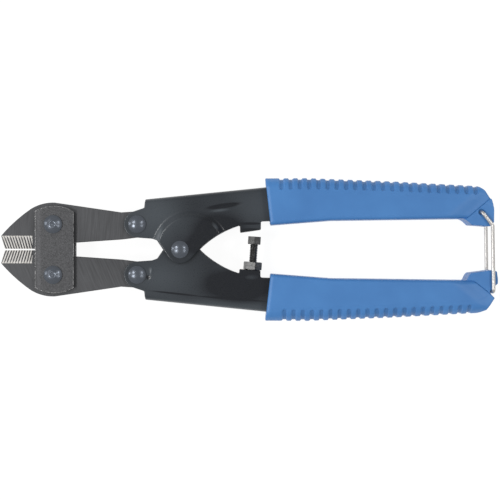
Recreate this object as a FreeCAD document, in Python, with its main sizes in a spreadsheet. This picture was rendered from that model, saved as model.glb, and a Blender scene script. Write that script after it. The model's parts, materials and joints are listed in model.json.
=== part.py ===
"""Bolt cutters: two jaws held by link plates and driven by two crossed channel handles.

+X runs from the jaws to the handle ends, +Y to the upper handle, and +Z is up off the surface that
the tool lies on. The origin is at the middle of the tool's underside. Every body is drawn about the
tool's mid-plane and lifted by mid_height.
"""
import FreeCAD
import Part
import Sketcher
import math
import os

UPPER = 1
LOWER = -1
SIDE_WORDS = {UPPER: "upper", LOWER: "lower"}
FACE_WORDS = {UPPER: "front", LOWER: "back"}
SAME = 0.01  # lengths closer than this are taken as equal

SIZES = [
    # Levels, measured from the mid-plane
    ("mid_height", 8.6),
    ("overrun", 1.0),  # how far a cutting outline runs past what it cuts
    ("jaw_half", 2.8),
    ("plate_gap", 0.05),
    ("link_thick", 2.0),
    ("channel_inner", 2.9),
    ("sheet_thick", 1.8),
    ("cross_gap", 0.1),
    ("grip_half", 8.6),
    ("lug_half", 6.8),
    # Pivots: link rivets, tail rivets and the centre rivet
    ("link_pivot_x", -82.8),
    ("link_pivot_y", 10.6),
    ("tail_pivot_x", -47.6),
    ("tail_pivot_y", 10.6),
    ("centre_x", -29.5),
    ("link_shank_r", 2.5),
    ("tail_shank_r", 2.3),
    ("centre_shank_r", 2.2),
    ("running_fit", 0.05),
    ("open_fit", 0.18),
    ("link_head_r", 3.85),
    ("tail_head_r", 3.75),
    ("centre_head_r", 3.65),
    ("head_rise", 1.75),
    ("head_rim", 0.45),
    ("head_flat", 0.25),  # flat middle of a head, as a share of its radius
    ("dome_r", 3.4),
    # Jaw
    ("tip_x", -105.0),
    ("edge_tip_x", -103.9),
    ("edge_y", 0.3),
    ("bevel_top", 5.8),
    ("bevel_end_x", -91.8),
    ("edge_half", 0.3),
    ("brow_x", -92.5),
    ("brow_y", 17.1),
    ("brow_arc_r", 66.0),
    ("crown_x", -82.3),
    ("crown_y", 19.75),
    ("crown_arc_r", 17.6),
    ("waist_x", -54.4),
    ("waist_out_y", 15.65),
    ("waist_in_y", 4.25),
    ("tail_r", 5.5),
    ("shank_in_x", -74.0),
    ("shank_in_y", 2.9),
    # Link plate
    ("link_front_x", -90.4),
    ("link_rear_x", -74.2),
    ("link_corner_y", 16.0),
    ("link_arc_r", 15.4),
    # Handle, from the ear to the end inside the grip
    ("ear_r", 5.6),
    ("ear_turn", 17.1),
    ("web_front_x", -44.3),
    ("web_front_y", 21.15),
    ("notch_x", -44.6),
    ("notch_y", 17.5),
    ("web_wall", 1.81),
    ("hollow_front_x", -60.0),
    ("hollow_side_y", 30.0),
    ("hollow_end_x", 95.0),
    ("crotch_x", -39.2),
    ("crotch_y", 3.8),
    ("crotch_front_x", -41.4),
    ("crotch_front_y", 4.55),
    ("boss_r", 5.9),
    ("boss_front_x", -34.5),
    ("boss_front_y", -3.1),
    ("boss_rear_x", -25.2),
    ("boss_rear_y", -4.03),
    ("sweep_x", -20.6),
    ("sweep_y", 0.9),
    ("sweep_arc_r", 41.0),
    ("throat_x", -5.0),
    ("throat_y", 10.0),
    ("arm_front_x", 5.0),
    ("arm_front_y", 11.9),
    ("arm_end_x", 92.0),
    ("arm_end_in_y", 14.6),
    ("arm_end_out_y", 25.0),
    ("knee_x", 22.0),
    ("knee_y", 27.8),
    ("web_bend_r", 2.5),
    # Raised round zone where one side plate passes over the other handle
    ("joggle_x", -25.0),
    ("joggle_top_r", 13.3),
    ("joggle_foot_r", 15.8),
    ("trim_r", 130.0),
    # Stop pad, bolt lug, bolt and nut
    ("pad_front_x", -4.4),
    ("pad_rear_x", 4.4),
    ("pad_front_y", 7.0),
    ("pad_rear_y", 8.3),
    ("pad_root_front_y", 10.9),
    ("pad_root_rear_y", 12.3),
    ("pad_half", 4.6),
    ("lug_front_x", -4.7),
    ("lug_rear_x", 4.2),
    ("lug_foot_front_y", -12.4),
    ("lug_foot_rear_y", -13.6),
    ("bolt_x", 0.8),
    ("bolt_y", -8.6),
    ("bolt_tilt", 4.0),
    ("bolt_r", 1.75),
    ("bolt_tail", 6.2),
    ("bolt_reach", 10.8),
    ("bolt_head_rise", 3.3),
    ("bolt_head_r", 3.1),
    ("bolt_head_turn", 24.5),
    ("nut_rise", 3.3),
    ("nut_r", 4.05),
    ("nut_turn", 40.0),
    ("chamfer_in", 0.88),
    ("chamfer_out", 1.05),
    ("chamfer_foot", 0.8),
    ("spacer_r", 3.4),
    # Grip
    ("mouth_in_x", 8.4),
    ("mouth_in_y", 10.2),
    ("mouth_out_x", 6.2),
    ("mouth_out_y", 29.9),
    ("palm_x", 24.0),
    ("palm_y", 30.0),
    ("palm_mid_x", 60.0),
    ("palm_mid_y", 28.6),
    ("palm_end_x", 94.8),
    ("palm_end_y", 26.7),
    ("finger_x", 34.0),
    ("finger_y", 12.2),
    ("finger_end_x", 88.8),
    ("finger_end_y", 12.95),
    ("palm_round_r", 5.0),
    ("finger_round_r", 1.6),
    # Bail and the lug and hook that it works on
    ("bail_x", 96.6),
    ("bail_y", 15.7),
    ("bail_bend_x", 101.0),
    ("bail_bend_y", 10.1),
    ("bail_bar_x", 101.4),
    ("bail_bar_y", -17.6),
    ("bail_r", 0.8),
    ("bail_leg_half", 7.75),
    ("bail_stub_half", 3.6),
    ("bail_hole_half", 3.4),
    ("bail_mouth_r", 1.4),
    ("bail_mouth_deep", 0.6),
    ("bail_corner_r", 1.3),
    # Arcs at the ends of the grips
    ("end_arc_r", 8.0),
    ("lug_arc_r", 18.0),
    ("hook_arc_r", 20.0),
    ("hook_throat_r", 6.0),
]

# Corners of the grips' ends; each gives the sheet a size ending in _x and one ending in _y
POINTS = [
    ("upper_heel", 98.2, 24.4),
    ("upper_step_out", 100.1, 21.4),
    ("upper_crease_out", 99.4, 20.6),
    ("upper_crease_in", 91.6, 14.0),
    ("upper_crease_foot", 90.3, 12.95),
    ("lug_root_in", 84.0, 13.5),
    ("lug_root_out", 90.0, 22.0),
    ("lug_top", 99.8, 21.5),
    ("lug_shoulder", 100.9, 21.1),
    ("lug_nose", 101.95, 16.1),
    ("lug_chin", 101.8, 11.4),
    ("lug_foot", 100.3, 9.7),
    ("lug_throat", 92.3, 10.3),
    ("lower_heel", 96.4, -26.2),
    ("lower_curl_in", 98.6, -25.3),
    ("lower_curl_out", 100.0, -23.4),
    ("lower_point", 102.1, -20.3),
    ("lower_notch", 100.6, -18.8),
    ("lower_crease_in", 93.4, -13.1),
    ("lower_crease_foot", 91.1, -12.95),
    ("hook_root_in", 88.0, -14.0),
    ("hook_throat", 90.6, -12.8),
    ("hook_back", 92.3, -9.8),
    ("hook_top", 101.2, -8.6),
    ("hook_shoulder", 103.0, -9.1),
    ("hook_lip", 103.4, -14.2),
    ("hook_slope", 100.1, -17.5),
    ("hook_root_out", 91.0, -22.0),
]
for point_name, point_x, point_y in POINTS:
    SIZES += [(f"{point_name}_x", point_x), (f"{point_name}_y", point_y)]

doc = FreeCAD.newDocument("bolt_cutters")
sheet = doc.addObject("Spreadsheet::Sheet", "Sizes")
for row, (alias, number) in enumerate(SIZES, start=1):
    sheet.set(f"A{row}", alias)
    sheet.set(f"B{row}", str(number))
    sheet.setAlias(f"B{row}", alias)
doc.recompute()


def bound(text):
    """The same sum with every size name given its sheet, ready for setExpression."""
    names = sorted((alias for alias, _ in SIZES), key=len, reverse=True)
    words = []
    word = ""
    for letter in text + " ":
        if letter.isalnum() or letter in "_.":
            word += letter
            continue
        words.append("Sizes." + word if word in names else word)
        words.append(letter)
        word = ""
    return "".join(words).strip()


def value(text):
    """The number that a sum of size names comes to."""
    result = sheet.evalExpression(bound(text))
    return float(getattr(result, "Value", result))


def at(name, radius=None):
    """An outline point from its name, with the radius of the edge that arrives there, if it is an arc."""
    return (f"{name}_x", f"{name}_y") if radius is None else (f"{name}_x", f"{name}_y", radius)


def new_body(name):
    body = doc.addObject("PartDesign::Body", name)
    body.Label = name
    body.setExpression("Placement.Base.z", bound("mid_height"))
    return body


def new_sketch(body, name, role="XY_Plane", shift=("0", "0", "0")):
    """A sketch on one of the body's own planes, moved by shift in the plane's own directions."""
    plane = [item for item in body.Origin.OriginFeatures if item.Role == role][0]
    sketch = body.newObject("Sketcher::SketchObject", name)
    sketch.AttachmentSupport = [(plane, "")]
    sketch.MapMode = "FlatFace"
    for axis, text in zip("xyz", shift):
        sketch.setExpression(f"AttachmentOffset.Base.{axis}", bound(text))
    return sketch


def pin_point(sketch, edge, end, tag, x_text, y_text):
    """Holds one end of an edge at a point worked out from the sizes."""
    for kind, text, letter in (("DistanceX", x_text, "x"), ("DistanceY", y_text, "y")):
        held = Sketcher.Constraint(kind, -1, 1, edge, end, value(text))
        number = sketch.addConstraint(held)
        sketch.renameConstraint(number, f"{letter}_{tag}")
        sketch.setExpression(f"Constraints.{letter}_{tag}", bound(text))


def arc_edge(start, end, radius):
    """An arc between two points, bulging to the left of its direction for a positive radius."""
    chord = end - start
    half = chord.Length / 2
    left = FreeCAD.Vector(-chord.y, chord.x, 0).normalize()
    side = math.copysign(1, radius)
    rise = abs(radius) - math.sqrt(max(radius * radius - half * half, 0))
    middle = start + chord / 2 + left * side * rise
    return Part.Arc(start, middle, end)


def trace(sketch, outline):
    """Closes an outline of (x, y) or (x, y, radius): the radius bends the edge that arrives there."""
    points = [FreeCAD.Vector(value(point[0]), value(point[1]), 0) for point in outline]
    starts = []
    for index, point in enumerate(outline):
        before = points[index - 1]
        here = points[index]
        if len(point) == 3:
            arc = arc_edge(before, here, value(point[2]))
            edge = sketch.addGeometry(arc)
            # The sketcher keeps an arc anticlockwise, so one that was drawn clockwise starts at its end
            turned = sketch.getPoint(edge, 1).distanceToPoint(before) > 1e-4
            starts.append((edge, 2 if turned else 1, 1 if turned else 2))
            held = sketch.addConstraint(Sketcher.Constraint("Radius", edge, abs(value(point[2]))))
            sketch.renameConstraint(held, f"r_{index}")
            sketch.setExpression(f"Constraints.r_{index}", bound(f"abs({point[2]})"))
        else:
            edge = sketch.addGeometry(Part.LineSegment(before, here))
            starts.append((edge, 1, 2))
    for index, point in enumerate(outline):
        edge, _, end = starts[index]
        after, after_start, _ = starts[(index + 1) % len(outline)]
        sketch.addConstraint(Sketcher.Constraint("Coincident", edge, end, after, after_start))
        pin_point(sketch, edge, end, f"p{index}", point[0], point[1])


def ring(sketch, x_text, y_text, radius_text):
    """A circle at a point worked out from the sizes."""
    centre = FreeCAD.Vector(value(x_text), value(y_text), 0)
    edge = sketch.addGeometry(Part.Circle(centre, FreeCAD.Vector(0, 0, 1), value(radius_text)))
    pin_point(sketch, edge, 3, f"c{edge}", x_text, y_text)
    held = sketch.addConstraint(Sketcher.Constraint("Radius", edge, value(radius_text)))
    sketch.renameConstraint(held, f"r_c{edge}")
    sketch.setExpression(f"Constraints.r_c{edge}", bound(radius_text))


def pad(body, name, sketch, length, side="Symmetric"):
    feature = body.newObject("PartDesign::Pad", name)
    feature.Profile = sketch
    feature.SideType = side
    feature.setExpression("Length", bound(length))
    doc.recompute()
    return feature


def pocket(body, name, sketch, length, side="Symmetric"):
    """Cuts a sketch into the body, and stops if nothing was cut."""
    before = body.Shape.Volume
    feature = body.newObject("PartDesign::Pocket", name)
    feature.Profile = sketch
    feature.SideType = side
    feature.setExpression("Length", bound(length))
    doc.recompute()
    if body.Shape.Volume > before - 1e-3:
        raise RuntimeError(f"{body.Label}: {name} cuts nothing")
    return feature


def revolve(body, kind, name, sketch):
    """Turns a profile right round the sketch's own upright axis, to add or to cut."""
    before = body.Shape.Volume if body.Shape.Solids else 0
    feature = body.newObject(f"PartDesign::{kind}", name)
    feature.Profile = sketch
    feature.ReferenceAxis = (sketch, ["V_Axis"])
    feature.Angle = 360
    doc.recompute()
    if abs(body.Shape.Volume - before) < 1e-3:
        raise RuntimeError(f"{body.Label}: {name} changes nothing")
    return feature


def round_edges(body, name, radius, wanted):
    """Rounds the body's edges that wanted picks."""
    base = body.Tip
    edges = [f"Edge{n}" for n, edge in enumerate(base.Shape.Edges, start=1) if wanted(edge)]
    feature = body.newObject("PartDesign::Fillet", name)
    feature.Base = (base, edges)
    feature.setExpression("Radius", bound(radius))
    doc.recompute()
    return feature


def hole(body, name, x_text, y_text, radius_text):
    """A round hole through the whole thickness."""
    sketch = new_sketch(body, f"{name}_sketch")
    ring(sketch, x_text, y_text, radius_text)
    return pocket(body, name, sketch, "6 * grip_half")


def make_jaw(name, side, link_fit):
    """A flat jaw: blade with a double ground bevel, link bore, shank and tail bore."""
    body = new_body(name)
    outline = new_sketch(body, f"{name}_outline")
    trace(outline, [
        ("edge_tip_x", f"{side} * edge_y"),
        ("tip_x", f"{side} * bevel_top"),
        ("brow_x", f"{side} * brow_y", f"{side} * brow_arc_r"),
        ("crown_x", f"{side} * crown_y", f"{side} * crown_arc_r"),
        ("waist_x", f"{side} * waist_out_y"),
        ("tail_pivot_x", f"{side} * (tail_pivot_y + tail_r)"),
        ("tail_pivot_x + tail_r", f"{side} * tail_pivot_y", f"{side} * tail_r"),
        ("tail_pivot_x", f"{side} * (tail_pivot_y - tail_r)", f"{side} * tail_r"),
        ("waist_x", f"{side} * waist_in_y"),
        ("shank_in_x", f"{side} * shank_in_y"),
        ("link_pivot_x", f"{side} * edge_y"),
    ])
    pad(body, f"{name}_plate", outline, "2 * jaw_half")
    for face in (UPPER, LOWER):
        word = FACE_WORDS[face]
        bevel = new_sketch(body, f"{name}_{word}_bevel", "YZ_Plane", ("0", "0", "bevel_end_x"))
        trace(bevel, [
            (f"{side} * bevel_top", f"{face} * (jaw_half + overrun)"),
            (f"{side} * bevel_top", f"{face} * jaw_half"),
            (f"{side} * edge_y", f"{face} * edge_half"),
            (f"{side} * (edge_y - overrun)", f"{face} * edge_half"),
            (f"{side} * (edge_y - overrun)", f"{face} * (jaw_half + overrun)"),
        ])
        pocket(body, f"{name}_{word}_grind", bevel, "bevel_end_x - tip_x + overrun", "One side")
    hole(body, f"{name}_link_bore", "link_pivot_x", f"{side} * link_pivot_y", f"link_shank_r + {link_fit}")
    hole(body, f"{name}_tail_bore", "tail_pivot_x", f"{side} * tail_pivot_y", "tail_shank_r + running_fit")
    return body


def make_link_plate(name, face):
    """A plate with straight sides and arched ends, on one face of both jaws."""
    body = new_body(name)
    level = f"{face} * (jaw_half + plate_gap + link_thick / 2)"
    outline = new_sketch(body, f"{name}_outline", shift=("0", "0", level))
    trace(outline, [
        ("link_front_x", "-link_corner_y", "link_arc_r"),
        ("link_front_x", "link_corner_y"),
        ("link_rear_x", "link_corner_y", "link_arc_r"),
        ("link_rear_x", "-link_corner_y"),
    ])
    pad(body, f"{name}_plate", outline, "link_thick")
    for side in (UPPER, LOWER):
        bore = f"{name}_{SIDE_WORDS[side]}_bore"
        hole(body, bore, "link_pivot_x", f"{side} * link_pivot_y", "link_shank_r")
    return body


def make_rivet(name, x_text, y_text, shank, head, half):
    """A round rivet with a low dome at each end."""
    body = new_body(name)
    body.setExpression("Placement.Base.x", bound(x_text))
    body.setExpression("Placement.Base.y", bound(y_text))
    profile = new_sketch(body, f"{name}_profile", "XZ_Plane")
    trace(profile, [
        ("0.0", f"-({half} + head_rise)"),
        (f"head_flat * {head}", f"-({half} + head_rise)"),
        (head, f"-({half} + head_rim)", "-dome_r"),
        (head, f"-({half})"),
        (shank, f"-({half})"),
        (shank, half),
        (head, half),
        (head, f"{half} + head_rim"),
        (f"head_flat * {head}", f"{half} + head_rise", "-dome_r"),
        ("0.0", f"{half} + head_rise"),
    ])
    revolve(body, "Revolution", f"{name}_turned", profile)
    return body


def make_handle(name, side):
    """A channel handle: two side plates joined by a web, crossed over the other handle at the pivot.

    One pressing serves both handles. Turned over about the X axis, the plate that is raised on the
    front of one is raised on the back of the other.
    """
    body = new_body(name)
    outer = "channel_inner + sheet_thick"
    raised = "channel_inner + 2 * sheet_thick + cross_gap"
    outline = new_sketch(body, f"{name}_outline")
    trace(outline, [
        ("tail_pivot_x", f"{side} * (tail_pivot_y - ear_r)"),
        ("tail_pivot_x - ear_r", f"{side} * tail_pivot_y", f"{side} * ear_r"),
        (
            "tail_pivot_x - ear_r * sin(ear_turn)",
            f"{side} * (tail_pivot_y + ear_r * cos(ear_turn))",
            f"{side} * ear_r",
        ),
        ("notch_x", f"{side} * notch_y"),
        ("web_front_x", f"{side} * web_front_y"),
        ("knee_x", f"{side} * knee_y"),
        ("arm_end_x", f"{side} * arm_end_out_y"),
        ("arm_end_x", f"{side} * arm_end_in_y"),
        ("arm_front_x", f"{side} * arm_front_y"),
        ("throat_x", f"{side} * throat_y"),
        ("sweep_x", f"{side} * sweep_y", f"{-side} * sweep_arc_r"),
        ("boss_rear_x", f"{side} * boss_rear_y"),
        ("boss_front_x", f"{side} * boss_front_y", f"{side} * boss_r"),
        ("crotch_x", f"{side} * crotch_y"),
        ("crotch_front_x", f"{side} * crotch_front_y"),
    ])
    # One side of the blank reaches the raised level, the other only the plain plate
    blank = pad(body, f"{name}_blank", outline, {UPPER: raised, LOWER: outer}[side], "Two sides")
    blank.setExpression("Length2", bound({UPPER: outer, LOWER: raised}[side]))
    doc.recompute()
    slope = "(knee_y - web_front_y) / (knee_x - web_front_x)"
    front = f"web_front_y - web_wall + {slope} * (hollow_front_x - web_front_x)"
    hollow = new_sketch(body, f"{name}_hollow_outline")
    trace(hollow, [
        ("hollow_front_x", f"-{side} * hollow_side_y"),
        ("hollow_front_x", f"{side} * ({front})"),
        ("knee_x", f"{side} * (knee_y - web_wall)"),
        ("hollow_end_x", f"{side} * (arm_end_out_y - web_wall)"),
        ("hollow_end_x", f"-{side} * hollow_side_y"),
    ])
    pocket(body, f"{name}_hollow", hollow, "2 * channel_inner")
    trim = new_sketch(body, f"{name}_trim_profile", "XZ_Plane", ("joggle_x", "0", "0"))
    trace(trim, [
        ("joggle_foot_r", f"{side} * ({outer})"),
        ("joggle_top_r", f"{side} * ({raised})"),
        ("joggle_top_r", f"{side} * ({raised} + overrun)"),
        ("trim_r", f"{side} * ({raised} + overrun)"),
        ("trim_r", f"{side} * ({outer})"),
    ])
    revolve(body, "Groove", f"{name}_trim", trim)
    dish = new_sketch(body, f"{name}_dish_profile", "XZ_Plane", ("joggle_x", "0", "0"))
    trace(dish, [
        ("0.0", f"{side} * (channel_inner - overrun)"),
        ("joggle_foot_r", f"{side} * (channel_inner - overrun)"),
        ("joggle_foot_r", f"{side} * channel_inner"),
        ("joggle_top_r", f"{side} * ({outer} + cross_gap)"),
        ("0.0", f"{side} * ({outer} + cross_gap)"),
    ])
    revolve(body, "Groove", f"{name}_dish", dish)
    web_line = value("web_front_y") - SAME
    long_edge = value("sheet_thick") * 10
    flat = value(outer)

    def on_web_bend(edge):
        box = edge.BoundBox
        outside = min(abs(box.YMin), abs(box.YMax)) > web_line and box.XLength > long_edge
        return outside and box.ZLength < SAME and abs(abs(edge.CenterOfMass.z) - flat) < SAME

    round_edges(body, f"{name}_bends", "web_bend_r", on_web_bend)
    fit = {UPPER: "centre_shank_r + running_fit", LOWER: "centre_shank_r"}[side]
    hole(body, f"{name}_centre_bore", "centre_x", "0.0", fit)
    hole(body, f"{name}_tail_bore", "tail_pivot_x", f"{side} * tail_pivot_y", "tail_shank_r")
    return body


def add_stop_pad(body):
    """Two folded tabs, one on the other, that bridge the side plates and meet the bolt's head."""
    outline = new_sketch(body, "stop_pad_outline")
    trace(outline, [
        ("pad_front_x", "pad_front_y"),
        ("pad_front_x", "pad_root_front_y"),
        ("pad_rear_x", "pad_root_rear_y"),
        ("pad_rear_x", "pad_rear_y"),
    ])
    pad(body, "stop_pad", outline, "2 * pad_half")


def add_bolt_lug(body):
    """A folded lug that bridges the side plates, square to the bolt and bored for it."""
    slope = "tan(bolt_tilt)"
    outline = new_sketch(body, "bolt_lug_outline")
    trace(outline, [
        ("lug_front_x", "lug_foot_front_y"),
        ("lug_rear_x", "lug_foot_rear_y"),
        ("lug_rear_x", f"bolt_y - {slope} * (lug_rear_x - bolt_x)"),
        ("lug_front_x", f"bolt_y - {slope} * (lug_front_x - bolt_x)"),
    ])
    pad(body, "bolt_lug", outline, "2 * pad_half")
    bore = body.newObject("PartDesign::SubtractiveCylinder", "bolt_bore")
    bore.setExpression("Radius", bound("bolt_r + running_fit"))
    bore.setExpression("Height", bound("2 * bolt_reach"))
    foot = FreeCAD.Vector(value("bolt_x"), value("bolt_y"), 0) - bolt_direction() * value("bolt_reach")
    bore.Placement = FreeCAD.Placement(foot, bolt_turn())
    doc.recompute()


def bolt_direction():
    tilt = math.radians(value("bolt_tilt"))
    return FreeCAD.Vector(math.sin(tilt), math.cos(tilt), 0)


def bolt_turn():
    return FreeCAD.Rotation(FreeCAD.Vector(0, 0, 1), bolt_direction())


def place_on_bolt(body):
    """Puts a body on the bolt's axis, with its own +Z along the bolt towards the head."""
    body.setExpression("Placement", None)
    body.setExpression("Placement.Base.z", None)
    foot = FreeCAD.Vector(value("bolt_x"), value("bolt_y"), value("mid_height"))
    body.Placement = FreeCAD.Placement(foot, bolt_turn())


def hexagon(sketch, radius_text, turn):
    corners = []
    for corner in range(6):
        angle = f"{60 * corner} + {turn}"
        corners.append((f"{radius_text} * cos({angle})", f"{radius_text} * sin({angle})"))
    trace(sketch, corners)


def make_bolt():
    """A hexagon head bolt; its own +Z runs from the lug to the head."""
    body = new_body("adjusting_bolt")
    shank = new_sketch(body, "bolt_shank_outline", shift=("0", "0", "-bolt_tail"))
    ring(shank, "0.0", "0.0", "bolt_r")
    pad(body, "bolt_shank", shank, "bolt_tail + bolt_reach", "One side")
    head = new_sketch(body, "bolt_head_outline", shift=("0", "0", "bolt_reach"))
    hexagon(head, "bolt_head_r", "bolt_head_turn")
    pad(body, "bolt_head", head, "bolt_head_rise", "One side")
    cut_corners(body, "bolt_head", "bolt_head_r", "bolt_reach", "bolt_head_rise")
    place_on_bolt(body)
    return body


def make_nut():
    """A hexagon nut standing on the lug."""
    body = new_body("lock_nut")
    outline = new_sketch(body, "nut_outline", shift=("0", "0", "plate_gap"))
    hexagon(outline, "nut_r", "nut_turn")
    pad(body, "nut_blank", outline, "nut_rise", "One side")
    cut_corners(body, "nut", "nut_r", "plate_gap", "nut_rise")
    bore = new_sketch(body, "nut_bore_outline")
    ring(bore, "0.0", "0.0", "bolt_r + running_fit")
    pocket(body, "nut_bore", bore, "4 * nut_rise")
    place_on_bolt(body)
    return body


def cut_corners(body, name, radius, foot, rise):
    """Turns the hexagon's corners down at its far end."""
    profile = new_sketch(body, f"{name}_chamfer_profile", "XZ_Plane")
    trace(profile, [
        (f"chamfer_in * {radius}", f"{foot} + {rise}"),
        (f"chamfer_out * {radius}", f"{foot} + chamfer_foot * {rise}"),
        (f"chamfer_out * {radius}", f"{foot} + {rise}"),
    ])
    revolve(body, "Groove", f"{name}_chamfer", profile)


def make_spacer():
    """A sleeve on the centre rivet that keeps the side plates apart."""
    body = new_body("pivot_spacer")
    body.setExpression("Placement.Base.x", bound("centre_x"))
    outline = new_sketch(body, "spacer_outline")
    ring(outline, "0.0", "0.0", "spacer_r")
    ring(outline, "0.0", "0.0", "centre_shank_r")
    pad(body, "spacer_sleeve", outline, "2 * (channel_inner - plate_gap)")
    return body


def make_grip(name, side, thick_end, thin_end):
    """A thick sleeve, closed round the handle's arm, with a thinner lug or hook beyond its end."""
    body = new_body(name)
    sleeve = new_sketch(body, f"{name}_sleeve_outline")
    trace(sleeve, [
        ("mouth_in_x", f"{side} * mouth_in_y"),
        ("mouth_out_x", f"{side} * mouth_out_y"),
        ("palm_x", f"{side} * palm_y"),
        ("palm_mid_x", f"{side} * palm_mid_y"),
        ("palm_end_x", f"{side} * palm_end_y"),
    ] + thick_end + [
        ("finger_x", f"{side} * finger_y"),
    ])
    pad(body, f"{name}_sleeve", sleeve, "2 * grip_half")
    level = value("grip_half")
    middle = value("palm_y") / 2 + value("finger_y") / 2

    def along_sleeve(edge):
        box = edge.BoundBox
        flat = box.ZLength < SAME and abs(abs(edge.CenterOfMass.z) - level) < SAME
        return flat and box.XLength > level

    def palm_side(edge):
        return along_sleeve(edge) and abs(edge.CenterOfMass.y) > middle

    def finger_side(edge):
        return along_sleeve(edge) and abs(edge.CenterOfMass.y) < middle

    round_edges(body, f"{name}_palm_round", "palm_round_r", palm_side)
    round_edges(body, f"{name}_finger_round", "finger_round_r", finger_side)
    tail = new_sketch(body, f"{name}_tail_outline")
    trace(tail, thin_end)
    pad(body, f"{name}_tail", tail, "2 * lug_half")
    arm = new_sketch(body, f"{name}_arm_outline")
    slope = "(knee_y - web_front_y) / (knee_x - web_front_x)"
    trace(arm, [
        ("0.0", f"{side} * (knee_y - {slope} * knee_x)"),
        ("knee_x", f"{side} * knee_y"),
        ("arm_end_x", f"{side} * arm_end_out_y"),
        ("arm_end_x", f"{side} * arm_end_in_y"),
        ("arm_front_x", f"{side} * arm_front_y"),
        ("0.0", f"{side} * arm_front_y"),
    ])
    pocket(body, f"{name}_arm_socket", arm, "2 * (channel_inner + sheet_thick)")
    return body


def make_upper_grip():
    """The upper grip ends in a lug that carries the bail's two stubs."""
    body = make_grip(
        "upper_grip", UPPER,
        [
            at("upper_heel", "end_arc_r"), at("upper_step_out"), at("upper_crease_out"),
            at("upper_crease_in"), at("upper_crease_foot"), at("finger_end"),
        ],
        [
            at("lug_root_in"), at("lug_root_out"), at("lug_top"), at("lug_shoulder"),
            at("lug_nose", "lug_arc_r"), at("lug_chin"), at("lug_foot"), at("lug_throat"),
            at("finger_end", "-end_arc_r"),
        ])
    for face in (UPPER, LOWER):
        for name, inner, radius in (
            ("hole", "bail_hole_half", "bail_r + running_fit"),
            ("mouth", "(lug_half - bail_mouth_deep)", "bail_mouth_r"),
        ):
            level = f"{face} * ({inner} + lug_half) / 2"
            word = f"bail_{FACE_WORDS[face]}_{name}"
            outline = new_sketch(body, f"{word}_outline", shift=("0", "0", level))
            ring(outline, "bail_x", "bail_y", radius)
            pocket(body, word, outline, f"lug_half - {inner}")
    return body


def make_lower_grip():
    """The lower grip ends in a hook that the bail's bar lies in."""
    return make_grip(
        "lower_grip", LOWER,
        [
            at("lower_heel", "-end_arc_r"), at("lower_curl_in"), at("lower_curl_out"), at("lower_point"),
            at("lower_notch"), at("lower_crease_in"), at("lower_crease_foot"),
        ],
        [
            at("hook_root_in"), at("hook_throat"), at("hook_back", "hook_throat_r"), at("hook_top"),
            at("hook_shoulder"), at("hook_lip", "hook_arc_r"), at("hook_slope"), at("lower_notch"),
            at("hook_root_out"),
        ])


def rounded_path(points, radius):
    """Straight runs through the points, with each corner rounded to radius."""
    edges = []
    start = points[0]
    for before, corner, after in zip(points, points[1:], points[2:]):
        inward = (before - corner).normalize()
        outward = (after - corner).normalize()
        half_turn = inward.getAngle(outward) / 2
        reach = radius / math.tan(half_turn)
        enter = corner + inward * reach
        leave = corner + outward * reach
        heart = corner + (inward + outward).normalize() * (radius / math.sin(half_turn))
        middle = heart + (corner - heart).normalize() * radius
        edges.append(Part.LineSegment(start, enter).toShape())
        edges.append(Part.Arc(enter, middle, leave).toShape())
        start = leave
    edges.append(Part.LineSegment(start, points[-1]).toShape())
    return Part.Wire(edges)


def make_bail():
    """A wire bent to a U, its ends turned into the upper lug and its bar under the lower hook."""
    leg = value("bail_leg_half")
    stub = value("bail_stub_half")
    pivot = (value("bail_x"), value("bail_y"))
    bend = (value("bail_bend_x"), value("bail_bend_y"))
    bar = (value("bail_bar_x"), value("bail_bar_y"))
    half = [(pivot, stub), (pivot, leg), (bend, leg), (bar, leg)]
    route = [(place, -level) for place, level in half] + list(reversed(half))
    points = [FreeCAD.Vector(x, y, z) for (x, y), z in route]
    path = rounded_path(points, value("bail_corner_r"))
    section = Part.Wire([Part.Circle(points[0], points[1] - points[0], value("bail_r")).toShape()])
    bail = doc.addObject("Part::Feature", "lock_bail")
    bail.Label = "lock_bail"
    bail.Shape = path.makePipeShell([section], True, False)
    bail.Placement = FreeCAD.Placement(FreeCAD.Vector(0, 0, value("mid_height")), FreeCAD.Rotation())
    return bail


parts = [
    make_jaw("upper_jaw", UPPER, "open_fit"),
    make_jaw("lower_jaw", LOWER, "running_fit"),
    make_link_plate("front_link_plate", UPPER),
    make_link_plate("rear_link_plate", LOWER),
]
LINK_HALF = "(jaw_half + plate_gap + link_thick)"
TAIL_HALF = "(channel_inner + sheet_thick)"
CENTRE_HALF = "(channel_inner + 2 * sheet_thick + cross_gap)"
for side, word in SIDE_WORDS.items():
    for pin, place, thick in (("jaw", "link", LINK_HALF), ("tail", "tail", TAIL_HALF)):
        parts.append(make_rivet(
            f"{word}_{pin}_rivet", f"{place}_pivot_x", f"{side} * {place}_pivot_y",
            f"{place}_shank_r", f"{place}_head_r", thick))
parts.append(make_rivet("centre_rivet", "centre_x", "0.0", "centre_shank_r", "centre_head_r", CENTRE_HALF))
upper_handle = make_handle("upper_handle", UPPER)
add_stop_pad(upper_handle)
lower_handle = make_handle("lower_handle", LOWER)
add_bolt_lug(lower_handle)
parts += [upper_handle, lower_handle, make_spacer(), make_bolt(), make_nut()]
parts += [make_upper_grip(), make_lower_grip(), make_bail()]
doc.recompute()

for item in doc.Objects:
    if "Invalid" in item.State or "Error" in item.State:
        raise RuntimeError(f"{item.Name}: {item.State}")

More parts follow.
